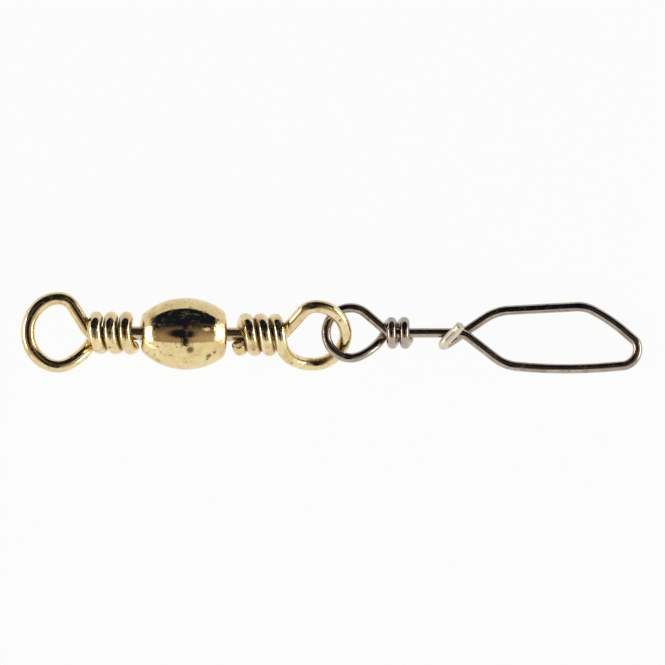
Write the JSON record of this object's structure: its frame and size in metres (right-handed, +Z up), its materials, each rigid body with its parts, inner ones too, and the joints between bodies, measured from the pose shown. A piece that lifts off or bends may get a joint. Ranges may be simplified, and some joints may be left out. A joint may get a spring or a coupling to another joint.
{
  "type": "fishing snap swivel",
  "caption": "Swaged barrel swivel with a bent wire eye at each end and a long hooked wire snap hanging in one of them.",
  "frame": {"origin": "on the table under the middle of the object's bounding box", "axes": "+X along the swivel towards the snap, +Z up from the table on which it lies"},
  "size_m": [0.0448, 0.0058, 0.0052],
  "materials": {
    "brass": "bright, lightly pitted",
    "nickel_wire": "bright drawn wire"
  },
  "bodies": {
    "barrel": {"barrel": "brass"},
    "line_eye": {"line_eye": "brass"},
    "link_eye": {"link_eye": "brass"},
    "snap": {"snap_wire": "nickel_wire"}
  },
  "joints": [
    {"name": "line_spin", "type": "hinge", "parent": "barrel", "child": "line_eye", "pos_m": [-0.01074, 0, 0.00262], "axis": [0.9958, 0, -0.0918], "continuous": true},
    {"name": "link_spin", "type": "hinge", "parent": "barrel", "child": "link_eye", "pos_m": [-0.01074, 0, 0.00262], "axis": [0.9958, 0, -0.0918], "continuous": true},
    {"name": "snap_swing", "type": "hinge", "parent": "link_eye", "child": "snap", "pos_m": [-0.0016, 0, 0.00178], "axis": [0.0783, -0.5212, 0.8498], "range_deg": [-65, 45]}
  ]
}
